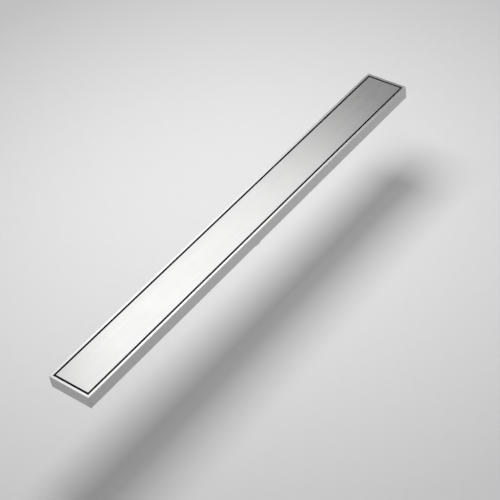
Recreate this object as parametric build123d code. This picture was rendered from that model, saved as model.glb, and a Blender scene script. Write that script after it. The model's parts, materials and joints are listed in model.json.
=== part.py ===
from build123d import *
from math import pi
import os

# Driving dimensions in millimetres. X runs along the channel, Z is up,
# and the origin is the centre of the outlet's lower end.

# Channel body, folded and welded from one thickness of sheet
channel_length = 800.0
channel_width = 76.0
wall_height = 22.5        # foot of the walls to the top of the rim
channel_sheet = 1.5
rim_width = 4.0           # flat top of the rim, folded inwards
rim_return = 6.5          # depth of the rim's inner fold, from the top
corner_radius = 0.7       # upright corners, ground after welding
rim_radius = 0.4          # outer edge of the rim, grooved before folding
rim_lip_radius = 0.3      # inner edge of the rim, beside the slot
fold_radius = 0.6         # fold between wall and floor
floor_fall = 2.5          # fall of the creased floor from its edges to the middle

# Round sump pressed into the middle of the floor
sump_step = 0.5           # sump floor below the point where the creases meet
sump_shelf = 7.0          # flat ring between the outlet's bore and the sump's wall
sump_round = 1.2          # lower outer edge of the sump

# Outlet spigot, one tube with its upper end flared to a flange
outlet_diameter = 50.0
outlet_wall = 1.5
outlet_reach = 20.0       # lower end of the outlet below the foot of the walls
outlet_flange = 5.5       # flange beyond the bore, lapped under the sump
outlet_bend = 1.5         # bend between tube and flange, on the middle of the wall
outlet_chamfer = 0.8      # lead-in at the lower end

# Cover plate, a shallow folded tray laid flat side up
slot_width = 3.1          # open slot between the cover and the rim, all round
cover_depth = 11.0
cover_sheet = 1.5
cover_corner_radius = 0.8
cover_edge_radius = 0.4

# Bridges that carry the cover
bridge_width = 22.0
bridge_sheet = 1.5
bridge_bend = 1.5         # folds of the bridge, on the middle of the sheet
bridge_side_gap = 1.5     # end of the bridge to the channel's wall
bridge_foot = 16.0        # length of each foot across the channel
bridge_margin = 0.8       # end bridge beyond the corner pads
arch_head = 1.5           # web left between the arch and the top sheet
arch_radius = 3.0
notch_depth = 6.0         # gap in the end bridge under the end slot
mid_bridge_place = 135.0  # outlet axis to the middle bridges

# Rubber seat pads, plugged into the bridges
pad_seat = 1.5            # thickness under the cover's edge
pad_inset = 5.0           # seat inside the cover's folded side
pad_length = 16.0
lip_height = 5.0
pad_clearance = 0.3       # lip to cover and lip to rim
peg_diameter = 4.0
peg_clearance = 0.1
peg_head_diameter = 6.0
peg_head = 1.0

# Hair strainer, pressed from thin sheet and perforated
basket_sheet = 0.8
basket_depth = 13.0       # sump floor to the basket's underside
basket_bend = 1.5         # both bends, on the middle of the sheet
basket_clearance = 0.5    # start of the flange's bend inside the outlet's bore
basket_rim_gap = 1.0      # flange to the sump's wall
basket_hole = 4.0
basket_hole_pitch = 6.0   # ring to ring
basket_hole_margin = 1.2  # outer ring to the bend
basket_slot = 4.0
basket_slot_height = 6.0
basket_slot_count = 12

# Strainer knob, riveted through the basket
knob_shank = 3.2
knob_rivet_diameter = 6.0
knob_rivet = 0.8
knob_stem = 5.0
knob_stem_height = 12.0
knob_head = 13.0
knob_head_height = 4.5
knob_head_round = 1.6

# Most that an edge's rounding may take of the corner it runs round
corner_share = 0.9

# Levels
foot_z = outlet_reach
floor_z = foot_z + channel_sheet
rim_z = foot_z + wall_height
sump_under_z = foot_z - floor_fall - sump_step
sump_floor_z = sump_under_z + channel_sheet
cover_low_z = rim_z - cover_depth
bridge_z = cover_low_z - pad_seat
bridge_under_z = bridge_z - bridge_sheet
basket_under_z = sump_floor_z - basket_depth

# Plan sizes
inner_length = channel_length - 2 * channel_sheet
inner_width = channel_width - 2 * channel_sheet
mouth_length = channel_length - 2 * rim_width
mouth_width = channel_width - 2 * rim_width
cover_length = mouth_length - 2 * slot_width
cover_width = mouth_width - 2 * slot_width
bore_radius = outlet_diameter / 2 - outlet_wall
sump_radius = bore_radius + sump_shelf
lip = slot_width - 2 * pad_clearance
pad_end_x = cover_length / 2 + pad_clearance + lip
pad_side_y = cover_width / 2 + pad_clearance + lip
pad_inner_y = cover_width / 2 - cover_sheet - pad_inset
peg_y = (pad_side_y + pad_inner_y) / 2
bridge_span = inner_width - 2 * bridge_side_gap
arch_width = bridge_span - 2 * bridge_foot
end_bridge_place = pad_end_x + bridge_margin - bridge_width / 2
basket_radius = bore_radius - basket_clearance - basket_bend


def block(length, width, low, high):
    return Pos(0, 0, (low + high) / 2) * Box(length, width, high - low)


def drum(radius, low, high):
    return Pos(0, 0, (low + high) / 2) * Cylinder(radius, high - low)


def bent_sheet(points, bend, thickness):
    # Section of a bent sheet: a line through the middle of the sheet, rounded and thickened
    return Plane.XZ * trace(FilletPolyline(*points, radius=bend), thickness)


def outer_uprights(shape):
    # The upright edges furthest from the middle: the four outer corners
    uprights = shape.edges().filter_by(Axis.Z)
    return uprights.group_by(lambda edge: edge.center().X ** 2 + edge.center().Y ** 2)[-1]


def below_corner(radius, corner):
    # An edge that runs round a rounded corner is kept tighter than that corner
    return min(radius, corner_share * corner)


def envelope(edge_z):
    # Four flat panels that fall from the foot of the walls to one point
    edge = Pos(0, 0, edge_z) * Rectangle(inner_length, inner_width)
    return loft([edge, Vertex(0, 0, edge_z - floor_fall)], ruled=True)


def make_walls():
    # Wall, rim and return are one section, carried round the channel with mitred corners
    section = Polyline(
        (0, foot_z),
        (0, rim_z),
        (rim_width, rim_z),
        (rim_width, rim_z - rim_return),
        (rim_width - channel_sheet, rim_z - rim_return),
        (rim_width - channel_sheet, rim_z - channel_sheet),
        (channel_sheet, rim_z - channel_sheet),
        (channel_sheet, foot_z),
        close=True,
    )
    end_x = channel_length / 2
    side_y = channel_width / 2
    plan = Polyline(
        (0, -side_y),
        (end_x, -side_y),
        (end_x, side_y),
        (-end_x, side_y),
        (-end_x, -side_y),
        (0, -side_y),
    )
    start = Plane((0, -side_y, 0), x_dir=(0, 1, 0), z_dir=(1, 0, 0))
    walls = sweep(start * make_face(section), path=plan, transition=Transition.RIGHT)

    walls = fillet(outer_uprights(walls), corner_radius)
    rim = walls.faces().sort_by(Axis.Z)[-1]
    walls = fillet(rim.outer_wire().edges(), below_corner(rim_radius, corner_radius))
    rim = walls.faces().sort_by(Axis.Z)[-1]
    walls = fillet(rim.inner_wires()[0].edges(), rim_lip_radius)
    foot = walls.faces().sort_by(Axis.Z)[0]
    return fillet(foot.outer_wire().edges(), below_corner(fold_radius, corner_radius))


def make_channel_body():
    sump = drum(sump_radius + channel_sheet, sump_under_z, floor_z)
    sump = fillet(sump.edges().group_by(Axis.Z)[0], sump_round)
    body = make_walls() + block(inner_length, inner_width, foot_z, floor_z) + envelope(foot_z) + sump
    body -= envelope(floor_z)
    body -= drum(sump_radius, sump_floor_z, floor_z)
    return body - drum(bore_radius, sump_under_z, sump_floor_z)


def make_outlet_spigot():
    middle = bore_radius + outlet_wall / 2
    flange_z = sump_under_z - outlet_wall / 2
    points = ((bore_radius + outlet_flange, flange_z), (middle, flange_z), (middle, 0))
    spigot = revolve(bent_sheet(points, outlet_bend, outlet_wall), Axis.Z)
    return chamfer(spigot.edges().group_by(Axis.Z)[0].sort_by(SortBy.RADIUS)[-1], outlet_chamfer)


def make_cover_plate():
    plate = block(cover_length, cover_width, cover_low_z, rim_z)
    tray = offset(plate, -cover_sheet, openings=plate.faces().sort_by(Axis.Z)[0])
    tray = fillet(outer_uprights(tray), cover_corner_radius)
    top = tray.faces().sort_by(Axis.Z)[-1]
    return fillet(top.edges(), below_corner(cover_edge_radius, cover_corner_radius))


def make_bridge(place, notched):
    # Inverted channel across the drain, its feet cut to the creased floor
    side = (bridge_width - bridge_sheet) / 2
    top = bridge_z - bridge_sheet / 2
    points = ((-side, sump_under_z), (-side, top), (side, top), (side, sump_under_z))
    bridge = extrude(bent_sheet(points, bridge_bend, bridge_sheet), bridge_span / 2, both=True)
    arch = block(bridge_width, arch_width, sump_under_z, bridge_under_z - arch_head)
    bridge -= fillet(arch.edges().filter_by(Axis.X).group_by(Axis.Z)[-1], arch_radius)
    if notched:
        notch = block(notch_depth, arch_width, sump_under_z, bridge_z)
        bridge -= Pos((bridge_width - notch_depth) / 2, 0, 0) * notch
    for hole_y in (-peg_y, peg_y):
        bridge -= Pos(0, hole_y, 0) * drum(peg_diameter / 2 + peg_clearance, bridge_under_z, bridge_z)
    above_floor = block(inner_length, inner_width, floor_z, rim_z) + envelope(floor_z)
    return (Pos(place, 0, 0) * bridge) & above_floor


def make_peg():
    peg = drum(peg_diameter / 2, bridge_under_z, bridge_z)
    return peg + drum(peg_head_diameter / 2, bridge_under_z - peg_head, bridge_under_z)


def make_pad(start_x, end_x, lip_outline, peg_x):
    # Flat seat under the cover's edge, with a lip that stands in the slot
    seat = Rectangle(end_x - start_x, pad_side_y - pad_inner_y)
    seat = Pos((start_x + end_x) / 2, peg_y, bridge_z) * seat
    pad = extrude(seat, pad_seat)
    pad += extrude(Pos(0, 0, cover_low_z) * make_face(Polyline(*lip_outline, close=True)), lip_height)
    return pad + Pos(peg_x, peg_y, 0) * make_peg()


def make_side_pad():
    start_x = mid_bridge_place - pad_length / 2
    end_x = mid_bridge_place + pad_length / 2
    lip_y = pad_side_y - lip
    lip_outline = ((start_x, lip_y), (end_x, lip_y), (end_x, pad_side_y), (start_x, pad_side_y))
    return make_pad(start_x, end_x, lip_outline, mid_bridge_place)


def make_corner_pad():
    # The lip turns the cover's corner
    start_x = pad_end_x - pad_length
    lip_x = pad_end_x - lip
    lip_y = pad_side_y - lip
    lip_outline = (
        (start_x, lip_y),
        (lip_x, lip_y),
        (lip_x, pad_inner_y),
        (pad_end_x, pad_inner_y),
        (pad_end_x, pad_side_y),
        (start_x, pad_side_y),
    )
    return make_pad(start_x, pad_end_x, lip_outline, end_bridge_place)


def make_strainer_basket():
    flange_z = sump_floor_z + basket_sheet / 2
    bottom_z = basket_under_z + basket_sheet / 2
    points = (
        (sump_radius - basket_rim_gap, flange_z),
        (basket_radius, flange_z),
        (basket_radius, bottom_z),
        (0, bottom_z),
    )
    basket = revolve(bent_sheet(points, basket_bend, basket_sheet), Axis.Z)

    # Rings of round holes in the bottom, as many as fit round the knob
    ring_radius = basket_radius - basket_bend - basket_hole_margin - basket_hole / 2
    hole = drum(basket_hole / 2, basket_under_z, basket_under_z + basket_sheet)
    while ring_radius > (knob_rivet_diameter + basket_hole) / 2:
        holes_round = int(2 * pi * ring_radius / basket_hole_pitch)
        basket -= PolarLocations(ring_radius, holes_round) * hole
        ring_radius -= basket_hole_pitch

    # Upright slots through the side
    slot = extrude(Plane.YZ * SlotOverall(basket_slot_height, basket_slot, rotation=90), bore_radius)
    for step in range(basket_slot_count):
        turn = Rot(0, 0, 360 / basket_slot_count * step)
        basket -= turn * Pos(0, 0, (flange_z + bottom_z) / 2) * slot
    return basket - drum(knob_shank / 2, basket_under_z, basket_under_z + basket_sheet)


def make_strainer_knob():
    # Turned from bar: rivet end, shank, stem and head on one axis
    stem_z = basket_under_z + basket_sheet
    head_z = stem_z + knob_stem_height
    top_z = head_z + knob_head_height
    profile = Polyline(
        (0, basket_under_z - knob_rivet),
        (knob_rivet_diameter / 2, basket_under_z - knob_rivet),
        (knob_rivet_diameter / 2, basket_under_z),
        (knob_shank / 2, basket_under_z),
        (knob_shank / 2, stem_z),
        (knob_stem / 2, stem_z),
        (knob_stem / 2, head_z),
        (knob_head / 2, head_z),
        (knob_head / 2, top_z),
        (0, top_z),
        close=True,
    )
    knob = revolve(Plane.XZ * make_face(profile), Axis.Z)
    head_rings = knob.edges().filter_by(GeomType.CIRCLE).group_by(SortBy.RADIUS)[-1]
    return fillet(head_rings, knob_head_round)


half_turn = Rot(0, 0, 180)
end_bridge = make_bridge(end_bridge_place, notched=True)
mid_bridge = make_bridge(mid_bridge_place, notched=False)
side_pad = make_side_pad()
corner_pad = make_corner_pad()

parts = {
    "channel_body": make_channel_body(),
    "outlet_spigot": make_outlet_spigot(),
    "cover_plate": make_cover_plate(),
    "end_bridge_1": half_turn * end_bridge,
    "end_bridge_2": end_bridge,
    "mid_bridge_1": half_turn * mid_bridge,
    "mid_bridge_2": mid_bridge,
    "strainer_basket": make_strainer_basket(),
    "strainer_knob": make_strainer_knob(),
}
for kind, pad in (("corner_pad", corner_pad), ("side_pad", side_pad)):
    parts[f"{kind}_1"] = half_turn * pad
    parts[f"{kind}_2"] = mirror(pad, Plane.XZ)
    parts[f"{kind}_3"] = pad
    parts[f"{kind}_4"] = half_turn * mirror(pad, Plane.XZ)

os.makedirs("parts", exist_ok=True)
for name, solid in parts.items():
    export_step(solid, f"parts/{name}.step")
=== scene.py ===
import json
from math import cos, radians, sin

import bmesh
import bpy
from mathutils import Matrix, Vector


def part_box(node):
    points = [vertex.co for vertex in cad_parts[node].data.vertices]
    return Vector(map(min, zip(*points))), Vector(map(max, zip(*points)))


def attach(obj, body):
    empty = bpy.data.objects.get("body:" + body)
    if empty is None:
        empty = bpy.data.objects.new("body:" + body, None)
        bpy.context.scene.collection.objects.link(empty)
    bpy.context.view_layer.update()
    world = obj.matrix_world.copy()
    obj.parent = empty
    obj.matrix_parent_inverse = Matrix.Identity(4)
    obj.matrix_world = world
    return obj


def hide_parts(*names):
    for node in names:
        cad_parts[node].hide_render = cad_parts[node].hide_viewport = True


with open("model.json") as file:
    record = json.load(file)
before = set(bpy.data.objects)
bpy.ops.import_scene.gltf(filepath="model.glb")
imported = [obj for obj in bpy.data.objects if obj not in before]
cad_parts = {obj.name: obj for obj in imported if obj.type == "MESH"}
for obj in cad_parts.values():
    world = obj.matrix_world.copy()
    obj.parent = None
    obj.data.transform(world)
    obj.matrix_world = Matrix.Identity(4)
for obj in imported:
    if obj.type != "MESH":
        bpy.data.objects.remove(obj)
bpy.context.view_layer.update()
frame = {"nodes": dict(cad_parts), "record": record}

# Metres throughout. X runs along the drain, Z is up, the outlet's lower end is at the origin.
cadNodes = frame["nodes"]
halfLength, halfWidth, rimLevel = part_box("channel_body")[1]
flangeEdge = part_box("outlet_spigot")[1]
print("frame loaded:", len(cadNodes), "nodes")


# Small helpers for node trees: a socket given as an input is linked, anything else is set.
def addNode(tree, kind, inputs=None, **settings):
    node = tree.nodes.new(kind)
    for name, value in settings.items():
        setattr(node, name, value)
    for key, value in (inputs or {}).items():
        if isinstance(value, bpy.types.NodeSocket):
            tree.links.new(value, node.inputs[key])
        else:
            node.inputs[key].default_value = value
    return node


def calc(tree, operation, first, second=0.0):
    return addNode(tree, "ShaderNodeMath", {0: first, 1: second}, operation=operation).outputs[0]


def vectorCalc(tree, operation, first, second=(0.0, 0.0, 0.0), output="Vector"):
    node = addNode(tree, "ShaderNodeVectorMath", {0: first, 1: second}, operation=operation)
    return node.outputs[output]


def remap(tree, value, fromRange, toRange, soft=False):
    node = addNode(tree, "ShaderNodeMapRange", {
        "Value": value,
        "From Min": fromRange[0],
        "From Max": fromRange[1],
        "To Min": toRange[0],
        "To Max": toRange[1],
    })
    node.interpolation_type = "SMOOTHSTEP" if soft else "LINEAR"
    return node.outputs["Result"]


def noise(tree, vector, scale=1.0, detail=3.0, roughness=0.55):
    inputs = {"Vector": vector, "Scale": scale, "Detail": detail, "Roughness": roughness}
    return addNode(tree, "ShaderNodeTexNoise", inputs).outputs["Fac"]


def scaled(tree, vector, scale):
    return addNode(tree, "ShaderNodeMapping", {"Vector": vector, "Scale": scale}).outputs[0]


def split(tree, vector):
    return addNode(tree, "ShaderNodeSeparateXYZ", {0: vector}).outputs


def join(tree, x=0.0, y=0.0, z=0.0):
    return addNode(tree, "ShaderNodeCombineXYZ", {0: x, 1: y, 2: z}).outputs[0]


def axisDistance(tree, place):
    flat = vectorCalc(tree, "MULTIPLY", place, (1.0, 1.0, 0.0))
    return vectorCalc(tree, "LENGTH", flat, output="Value")


def mixVector(tree, factor, first, second):
    inputs = {0: factor, 4: first, 5: second}
    return addNode(tree, "ShaderNodeMix", inputs, data_type="VECTOR").outputs[1]


def mixColour(tree, factor, first, second):
    inputs = {0: factor, 6: first, 7: second}
    return addNode(tree, "ShaderNodeMix", inputs, data_type="RGBA").outputs[2]


def grey(level, warmth=0.0):
    return (level * (1 + warmth), level, level * (1 - warmth), 1.0)


noiseSpan = (0.3, 0.7)   # nearly all of a noise field lies between these


def greyField(tree, field, look):
    share = remap(tree, field, noiseSpan, (0.0, 1.0))
    dark, light = (grey(look[tone], look["warmth"]) for tone in ("dark", "light"))
    return mixColour(tree, share, dark, light)


def startMaterial(name):
    material = bpy.data.materials.new(name)
    material.use_nodes = True
    tree = material.node_tree
    place = addNode(tree, "ShaderNodeTexCoord").outputs["Object"]
    return material, tree, tree.nodes["Principled BSDF"], place


def finishSurface(tree, shader, shade, rough, height, depth, metal=1.0):
    bump = addNode(tree, "ShaderNodeBump", {"Height": height, "Distance": depth})
    tree.links.new(shade, shader.inputs["Base Color"])
    tree.links.new(rough, shader.inputs["Roughness"])
    tree.links.new(bump.outputs["Normal"], shader.inputs["Normal"])
    shader.inputs["Metallic"].default_value = metal


# Brushed sheet: fine lines along each limb, faint long streaks and a little handling haze.
coverLook = {
    "name": "coverSteel",
    "light": 0.74,
    "dark": 0.71,
    "warmth": 0.004,
    "rough": (0.15, 0.185),
    "haze": 0.006,
    "hazeScale": 22.0,
    "hazeSpan": (0.35, 0.65),
    "lineLength": 0.06,
    "lineWidth": 0.0006,
    "streakLength": 0.5,
    "streakWidth": 0.012,
    "lineDepth": 0.000005,
    "anisotropy": 0.2,
    "wallDrop": (0.0009, 0.0003),   # painted shade below the rim's level: the walls and skirts are darkened and rougher, the top keeps its tone
    # painted shade: the colour of the walls and skirts is scaled down by this value
    "wallShade": 0.72,
    "wallRough": 0.10,
}
channelLook = dict(
    coverLook,
    name="channelSteel",
    # painted highlight: the channel's steel is lighter than the cover's same steel so that its rim
    # reads brighter, and the walls take a stronger painted shade to stay as dark
    light=0.86,
    dark=0.83,
    streakLength=0.35,
    streakWidth=0.004,
    wallShade=0.614,
    cornerGrind=(0.0042, 0.007),   # patch round each upright corner, ground after welding
    grindRough=0.05,
    tintRadius=flangeEdge.x + 0.002,   # faint straw band left by the outlet's weld
    tintWidth=0.007,
    tintStrength=0.35,
    tintTop=flangeEdge.z + 0.001,
    tintColour=(0.72, 0.60, 0.42, 1.0),
)


def weldTint(tree, place, shade, look):
    # Straw colour in a ring round the outlet, on the underside only
    radius = axisDistance(tree, place)
    offRing = calc(tree, "ABSOLUTE", calc(tree, "SUBTRACT", radius, look["tintRadius"]))
    ring = remap(tree, offRing, (0.0, look["tintWidth"]), (look["tintStrength"], 0.0), soft=True)
    below = calc(tree, "LESS_THAN", split(tree, place)[2], look["tintTop"])
    return mixColour(tree, calc(tree, "MULTIPLY", ring, below), shade, look["tintColour"])


def brushedSteel(look, mitred=False):
    material, tree, shader, place = startMaterial(look["name"])
    x, y, z = split(tree, place)
    along, across = 1 / look["lineLength"], 1 / look["lineWidth"]
    slow, wide = 1 / look["streakLength"], 1 / look["streakWidth"]
    lines = scaled(tree, place, (along, across, across))
    streaks = scaled(tree, place, (slow, wide, wide))
    tangent = join(tree, x=1.0)
    if mitred:
        # The lines turn at the mitre between the long limbs and the two ends
        fromEnd = calc(tree, "SUBTRACT", halfLength, calc(tree, "ABSOLUTE", x))
        fromSide = calc(tree, "SUBTRACT", halfWidth, calc(tree, "ABSOLUTE", y))
        onEnd = calc(tree, "LESS_THAN", fromEnd, fromSide)
        lines = mixVector(tree, onEnd, lines, scaled(tree, place, (across, along, across)))
        streaks = mixVector(tree, onEnd, streaks, scaled(tree, place, (wide, slow, wide)))
        tangent = mixVector(tree, onEnd, tangent, join(tree, y=1.0))
    lineField = noise(tree, lines, detail=2.0)
    hazeField = noise(tree, place, scale=look["hazeScale"], detail=4.0)
    shade = greyField(tree, noise(tree, streaks), look)
    rough = remap(tree, lineField, noiseSpan, look["rough"])
    haze = remap(tree, hazeField, look["hazeSpan"], (-look["haze"], look["haze"]))
    rough = calc(tree, "ADD", rough, haze)
    if mitred:
        nearest = calc(tree, "MAXIMUM", fromEnd, fromSide)
        grind = remap(tree, nearest, look["cornerGrind"], (look["grindRough"], 0.0), soft=True)
        rough = calc(tree, "ADD", rough, grind)
        shade = weldTint(tree, place, shade, look)
    # Painted shade: below the rim's level the steel's colour is darkened, and its roughness raised
    wall = remap(tree, calc(tree, "SUBTRACT", rimLevel, z), look["wallDrop"], (1.0, 0.0), soft=True)
    rough = calc(tree, "ADD", rough, calc(tree, "MULTIPLY", wall, look["wallRough"]))
    dull = addNode(tree, "ShaderNodeHueSaturation", {"Color": shade, "Value": look["wallShade"]})
    shade = mixColour(tree, wall, shade, dull.outputs[0])
    finishSurface(tree, shader, shade, rough, lineField, look["lineDepth"])
    tree.links.new(tangent, shader.inputs["Tangent"])
    shader.inputs["Anisotropic"].default_value = look["anisotropy"]
    return material


# Round pieces: the lines run round the outlet's axis, as drawing and turning leave them.
outletLook = {
    "name": "outletSteel",
    "light": 0.66,
    "dark": 0.58,
    "warmth": 0.004,
    "rough": (0.26, 0.40),
    "ringWidth": 0.0009,
    "ringDepth": 0.00001,
    "mottle": 160.0,
}
strainerLook = dict(
    outletLook,
    name="strainerSteel",
    light=0.70,
    dark=0.63,
    rough=(0.18, 0.28),
    ringWidth=0.0016,
)
knobLook = dict(
    outletLook,
    name="knobSteel",
    light=0.72,
    dark=0.66,
    rough=(0.16, 0.26),
    ringWidth=0.0004,
)


def turnedSteel(look):
    material, tree, shader, place = startMaterial(look["name"])
    radius = axisDistance(tree, place)
    section = join(tree, x=radius, y=split(tree, place)[2])
    ringField = noise(tree, section, scale=1 / look["ringWidth"], detail=2.0)
    shade = greyField(tree, noise(tree, place, scale=look["mottle"], detail=4.0), look)
    rough = remap(tree, ringField, noiseSpan, look["rough"])
    finishSurface(tree, shader, shade, rough, ringField, look["ringDepth"])
    return material


# Mill finish of the bridges, and the same with a straw heat tint for the welds.
bridgeLook = {
    "name": "bridgeSteel",
    "light": 0.62,
    "dark": 0.54,
    "warmth": 0.004,
    "rough": (0.34, 0.48),
    "grain": 900.0,
    "patch": 70.0,
    "grainDepth": 0.000015,
}
weldLook = dict(
    bridgeLook,
    name="weldSteel",
    light=0.60,
    dark=0.46,
    warmth=0.08,
    rough=(0.26, 0.42),
    patch=260.0,
)


def millSteel(look):
    material, tree, shader, place = startMaterial(look["name"])
    grainField = noise(tree, place, scale=look["grain"])
    shade = greyField(tree, noise(tree, place, scale=look["patch"], detail=4.0), look)
    rough = remap(tree, grainField, noiseSpan, look["rough"])
    finishSurface(tree, shader, shade, rough, grainField, look["grainDepth"])
    return material


rubberLook = {
    "name": "padRubber",
    "light": 0.045,
    "dark": 0.022,
    "warmth": 0.0,
    "rough": (0.58, 0.78),
    "pebble": 1800.0,
    "bloom": 180.0,
    "pebbleDepth": 0.00003,
}


def mouldedRubber(look):
    material, tree, shader, place = startMaterial(look["name"])
    pebbleField = noise(tree, place, scale=look["pebble"], detail=2.0)
    shade = greyField(tree, noise(tree, place, scale=look["bloom"], detail=4.0), look)
    rough = remap(tree, pebbleField, noiseSpan, look["rough"])
    finishSurface(tree, shader, shade, rough, pebbleField, look["pebbleDepth"], metal=0.0)
    return material


finishes = {
    "channel_steel": brushedSteel(channelLook, mitred=True),
    "cover_steel": brushedSteel(coverLook),
    "outlet_steel": turnedSteel(outletLook),
    "strainer_steel": turnedSteel(strainerLook),
    "knob_steel": turnedSteel(knobLook),
    "bridge_steel": millSteel(bridgeLook),
    "pad_rubber": mouldedRubber(rubberLook),
}
weldSteel = millSteel(weldLook)
for row in frame["record"]["subparts"]:
    for slot in cadNodes[row["node"]].material_slots:
        slot.material = finishes[row["material_slot"]]
print("finishes:", ", ".join(sorted(finishes)))


# Rubber pads: the moulded pieces have soft edges, so each stands in for its sharp solid.
padEdge = {
    "radius": 0.00035,
    "steps": 3,
    "sharper": 40.0,   # degrees between faces from which an edge is rounded
    "flat": 1.0,       # degrees up to which triangles are one face
    "merge": 1e-6,
}


def softPad(node):
    mesh = node.data.copy()
    shape = bmesh.new()
    shape.from_mesh(mesh)
    bmesh.ops.remove_doubles(shape, verts=shape.verts, dist=padEdge["merge"])
    flat = radians(padEdge["flat"])
    bmesh.ops.dissolve_limit(shape, angle_limit=flat, verts=shape.verts, edges=shape.edges)
    shape.to_mesh(mesh)
    shape.free()
    pad = bpy.data.objects.new(node.name + "_moulded", mesh)
    bpy.context.scene.collection.objects.link(pad)
    edge = pad.modifiers.new("edge", "BEVEL")
    edge.width = padEdge["radius"]
    edge.segments = padEdge["steps"]
    edge.limit_method = "ANGLE"
    edge.angle_limit = radians(padEdge["sharper"])
    edge.use_clamp_overlap = True
    graph = bpy.context.evaluated_depsgraph_get()
    pad.data = bpy.data.meshes.new_from_object(pad.evaluated_get(graph))
    pad.modifiers.clear()
    pad.data.name = pad.name
    pad.data.shade_smooth()
    pad.data.set_sharp_from_angle(angle=radians(padEdge["sharper"]))
    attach(pad, "root")
    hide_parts(node.name)
    return pad


pads = [softPad(node) for name, node in sorted(cadNodes.items()) if "_pad_" in name]
print("pads softened:", len(pads))


# Grown pieces: a tree's inputs are set by identifier and its result is kept as a plain mesh.
def startTree(name, sockets):
    tree = bpy.data.node_groups.new(name, "GeometryNodeTree")
    tree.interface.new_socket(name="Geometry", in_out="OUTPUT", socket_type="NodeSocketGeometry")
    for socketName, kind in sockets.items():
        tree.interface.new_socket(name=socketName, in_out="INPUT", socket_type="NodeSocket" + kind)
    return tree, addNode(tree, "NodeGroupInput").outputs


def endTree(tree, geometry, material):
    smooth = addNode(tree, "GeometryNodeSetShadeSmooth", {"Geometry": geometry})
    plain = addNode(tree, "GeometryNodeRealizeInstances", {"Geometry": smooth.outputs[0]})
    steel = addNode(tree, "GeometryNodeSetMaterial", {
        "Geometry": plain.outputs[0],
        "Material": material,
    })
    addNode(tree, "NodeGroupOutput", {"Geometry": steel.outputs[0]})


def grow(name, tree, values, points=()):
    holder = bpy.data.objects.new(name, bpy.data.meshes.new(name))
    holder.data.from_pydata(points, [], [])
    bpy.context.scene.collection.objects.link(holder)
    modifier = holder.modifiers.new("grow", "NODES")
    modifier.node_group = tree
    for item in tree.interface.items_tree:
        if item.in_out == "INPUT" and item.name in values:
            modifier[item.identifier] = values[item.name]
    graph = bpy.context.evaluated_depsgraph_get()
    mesh = bpy.data.meshes.new_from_object(holder.evaluated_get(graph))
    holder.modifiers.clear()
    holder.data = mesh
    mesh.name = name
    mesh.materials.clear()
    mesh.materials.append(values["Steel"])
    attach(holder, "root")
    print(name + ":", len(mesh.polygons), "faces")


# Weld round the outlet's flange: one bead along the flange's edge, with a ripple for each puddle.
beadSizes = {
    "Ring Radius": flangeEdge.x,
    "Level": flangeEdge.z - 0.0005,
    "Bead Radius": 0.0011,
    "Ripples": 110,
    "Steps": 6,
    "Sides": 10,
    "Ripple Depth": 0.22,
    "Wander": 0.10,
    "Seed": 7,
    "Steel": weldSteel,
}


def beadTree():
    tree, given = startTree("weldBead", {
        "Ring Radius": "Float",
        "Level": "Float",
        "Bead Radius": "Float",
        "Ripples": "Int",
        "Steps": "Int",
        "Sides": "Int",
        "Ripple Depth": "Float",
        "Wander": "Float",
        "Seed": "Int",
        "Steel": "Material",
    })
    count = calc(tree, "MULTIPLY", given["Ripples"], given["Steps"])
    ring = addNode(tree, "GeometryNodeCurvePrimitiveCircle", {
        "Resolution": count,
        "Radius": given["Ring Radius"],
    })
    ring = addNode(tree, "GeometryNodeSetPosition", {
        "Geometry": ring.outputs["Curve"],
        "Offset": join(tree, z=given["Level"]),
    })
    share = addNode(tree, "GeometryNodeSplineParameter").outputs["Factor"]
    puddle = calc(tree, "MULTIPLY", share, given["Ripples"])
    crest = calc(tree, "POWER", calc(tree, "FRACT", puddle), 2.0)
    dip = calc(tree, "SUBTRACT", 1.0, calc(tree, "MULTIPLY", crest, given["Ripple Depth"]))
    chance = addNode(tree, "FunctionNodeRandomValue", {
        "ID": calc(tree, "FLOOR", puddle),
        "Seed": given["Seed"],
    }, data_type="FLOAT").outputs[1]
    wander = calc(tree, "MULTIPLY", calc(tree, "SUBTRACT", chance, 0.5), given["Wander"])
    size = calc(tree, "ADD", 1.0, wander)
    profile = addNode(tree, "GeometryNodeCurvePrimitiveCircle", {
        "Resolution": given["Sides"],
        "Radius": given["Bead Radius"],
    })
    bead = addNode(tree, "GeometryNodeCurveToMesh", {
        "Curve": ring.outputs[0],
        "Profile Curve": profile.outputs["Curve"],
        "Scale": calc(tree, "MULTIPLY", dip, size),
    })
    endTree(tree, bead.outputs["Mesh"], given["Steel"])
    return tree


grow("outlet_weld", beadTree(), beadSizes)


# Tack welds: two small nuggets along the root of each bridge foot, dropped on the falling floor.
tackSizes = {
    "Channel": cadNodes["channel_body"],
    "Drop": 0.05,
    "Segments": 14,
    "Rings": 8,
    "Radius": 0.0015,
    "Least": (0.75, 1.0, 0.55),
    "Most": (0.95, 1.6, 0.75),
    "Seed": 11,
    "Steel": weldSteel,
    "Insets": (0.004, 0.011),   # places along each foot, from its outer end
}


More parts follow.
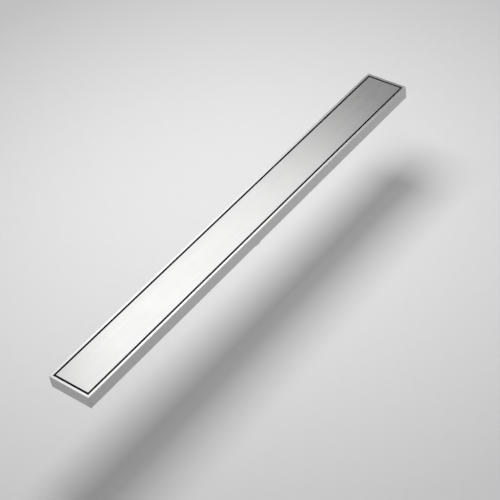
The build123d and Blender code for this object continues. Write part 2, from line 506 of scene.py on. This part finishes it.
def tackTree():
    tree, given = startTree("tackWelds", {
        "Points": "Geometry",
        "Channel": "Object",
        "Drop": "Float",
        "Segments": "Int",
        "Rings": "Int",
        "Radius": "Float",
        "Least": "Vector",
        "Most": "Vector",
        "Seed": "Int",
        "Steel": "Material",
    })
    channel = addNode(tree, "GeometryNodeObjectInfo", {"Object": given["Channel"]}).outputs["Geometry"]
    drop = addNode(tree, "GeometryNodeRaycast", {
        "Target Geometry": channel,
        "Ray Direction": (0.0, 0.0, -1.0),
        "Ray Length": given["Drop"],
    })
    landed = addNode(tree, "GeometryNodeSetPosition", {
        "Geometry": given["Points"],
        "Selection": drop.outputs["Is Hit"],
        "Position": drop.outputs["Hit Position"],
    })
    nugget = addNode(tree, "GeometryNodeMeshUVSphere", {
        "Segments": given["Segments"],
        "Rings": given["Rings"],
        "Radius": given["Radius"],
    })
    size = addNode(tree, "FunctionNodeRandomValue", {
        0: given["Least"],
        1: given["Most"],
        "Seed": given["Seed"],
    }, data_type="FLOAT_VECTOR").outputs[0]
    tacks = addNode(tree, "GeometryNodeInstanceOnPoints", {
        "Points": landed.outputs[0],
        "Instance": nugget.outputs["Mesh"],
        "Scale": size,
    })
    endTree(tree, tacks.outputs["Instances"], given["Steel"])
    return tree


tackPoints = []
for name in sorted(cadNodes):
    if "bridge" in name:
        low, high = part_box(name)
        for x in (low.x, high.x):
            for inset in tackSizes["Insets"]:
                tackPoints += [(x, low.y + inset, high.z), (x, high.y - inset, high.z)]
grow("bridge_tacks", tackTree(), tackSizes, tackPoints)


# Light: one soft lamp above for light and shadow, and a studio that the steel mirrors.
keyLamp = {"place": (0.203, 0.222, 1.069), "size": 0.69, "power": 12.4}
roomLook = {
    "ambient": 0.25,      # light of the room on dull surfaces
    "level": 0.50,        # mirrored room, between horizon and ceiling
    "horizon": 0.80,
    "horizonTop": 0.50,
}
# Soft spots of the mirrored room: compass angle from X and height in degrees, soft edge, added level.
softSpots = {
    "screen": {"turn": 44.4, "height": 46.0, "edge": (6.3, 9.6), "level": 1.0},
    "flag": {"turn": 25.0, "height": 33.0, "edge": (8.0, 28.0), "level": -0.30},
    "ceiling": {"turn": 48.0, "height": 76.0, "edge": (14.0, 24.0), "level": 0.57},
}
# Stage: a pale floor well below the drain, so that it floats over its own soft shadow.
stageLook = {
    "level": -0.154,
    "reach": 60.0,
    "shade": 0.81,
    "speckle": 0.01,
    "speckleScale": 40.0,
    "roughness": 0.9,
    # painted light: past the pool's edge the floor is shown by an emission, dim where it carries on
    # the lamp's falloff and a pale backdrop far out
    "poolEdge": (0.70, 0.92),   # beyond the lamp's pool of light the floor is shown pale
    "pale": (0.535, 0.80),      # from the pool's edge to the far floor
    "paleReach": (0.90, 4.5),
}


def seenDirectly(tree):
    path = addNode(tree, "ShaderNodeLightPath").outputs
    shown = calc(tree, "MAXIMUM", path["Is Camera Ray"], path["Is Glossy Ray"])
    return calc(tree, "MAXIMUM", shown, path["Is Transmission Ray"])


def makeFloor(look):
    material, tree, shader, place = startMaterial("paleFloor")
    speckle = noise(tree, place, scale=look["speckleScale"], detail=4.0)
    low, high = look["shade"] - look["speckle"], look["shade"] + look["speckle"]
    shade = mixColour(tree, speckle, grey(low), grey(high))
    tree.links.new(shade, shader.inputs["Base Color"])
    shader.inputs["Roughness"].default_value = look["roughness"]
    shader.inputs["Specular IOR Level"].default_value = 0.0
    # Painted light: for camera and glossy rays the floor glows beyond the pool's edge, dim near the
    # pool and pale far away
    middle = (*keyLamp["place"][:2], look["level"])
    away = vectorCalc(tree, "DISTANCE", place, middle, output="Value")
    far = remap(tree, away, look["poolEdge"], (0.0, 1.0), soft=True)
    pale = remap(tree, away, look["paleReach"], look["pale"], soft=True)
    glow = addNode(tree, "ShaderNodeEmission", {"Color": pale})
    mixed = addNode(tree, "ShaderNodeMixShader", {
        0: calc(tree, "MULTIPLY", far, seenDirectly(tree)),
        1: shader.outputs["BSDF"],
        2: glow.outputs["Emission"],
    })
    tree.links.new(mixed.outputs["Shader"], tree.nodes["Material Output"].inputs["Surface"])
    mesh = bpy.data.meshes.new("floor")
    side = look["reach"]
    corners = [(x * side, y * side, look["level"]) for x, y in ((-1, -1), (1, -1), (1, 1), (-1, 1))]
    mesh.from_pydata(corners, [], [(0, 1, 2, 3)])
    mesh.materials.append(material)
    floor = bpy.data.objects.new("floor", mesh)
    bpy.context.scene.collection.objects.link(floor)


def makeLamp(look):
    data = bpy.data.lights.new("key", "AREA")
    data.shape = "SQUARE"
    data.size = look["size"]
    data.energy = look["power"]
    lamp = bpy.data.objects.new("key", data)
    lamp.location = look["place"]
    lamp.visible_camera = False
    lamp.visible_glossy = False
    bpy.context.scene.collection.objects.link(lamp)


def makeRoom(look, spots):
    world = bpy.data.worlds.new("room")
    world.use_nodes = True
    tree = world.node_tree
    direction = addNode(tree, "ShaderNodeTexCoord").outputs["Generated"]
    height = split(tree, direction)["Z"]
    level = remap(tree, height, (0.0, look["horizonTop"]), (look["horizon"], look["level"]), soft=True)
    for spot in spots.values():
        turn, rise = radians(spot["turn"]), radians(spot["height"])
        centre = (cos(turn) * cos(rise), sin(turn) * cos(rise), sin(rise))
        facing = vectorCalc(tree, "DOT_PRODUCT", direction, centre, output="Value")
        apart = calc(tree, "ARCCOSINE", facing)
        edge = [radians(angle) for angle in spot["edge"]]
        level = calc(tree, "ADD", level, remap(tree, apart, edge, (spot["level"], 0.0), soft=True))
    shown = addNode(tree, "ShaderNodeMix", {0: seenDirectly(tree), 2: look["ambient"], 3: level})
    tree.links.new(shown.outputs[0], tree.nodes["Background"].inputs["Color"])
    bpy.context.scene.world = world


# Camera: the photograph's own view, solved on the drain's edges.
cameraView = {
    "aim": (-0.049193, -0.051949, 0.0425),
    "azimuth": -46.518,
    "elevation": 43.218,
    "roll": -8.776,
    "distance": 2.18013,
    "lens": 104.489,
    "clipEnd": 200.0,
}


def makeCamera(look):
    azimuth, elevation, roll = (radians(look[name]) for name in ("azimuth", "elevation", "roll"))
    back = Vector((sin(azimuth) * cos(elevation), -cos(azimuth) * cos(elevation), sin(elevation)))
    right = (-back).cross(Vector((0, 0, 1))).normalized()
    down = (-back).cross(right)
    imageRight = cos(roll) * right - sin(roll) * down
    imageUp = -(sin(roll) * right + cos(roll) * down)
    data = bpy.data.cameras.new("camera")
    data.lens = look["lens"]
    data.clip_end = look["clipEnd"]
    camera = bpy.data.objects.new("camera", data)
    turn = Matrix((imageRight, imageUp, back)).transposed().to_4x4()
    camera.matrix_world = Matrix.Translation(Vector(look["aim"]) + back * look["distance"]) @ turn
    bpy.context.scene.collection.objects.link(camera)
    bpy.context.scene.camera = camera


makeFloor(stageLook)
makeLamp(keyLamp)
makeRoom(roomLook, softSpots)
makeCamera(cameraView)
bpy.context.scene.view_settings.view_transform = "Standard"
print("stage, lamp and camera ready")
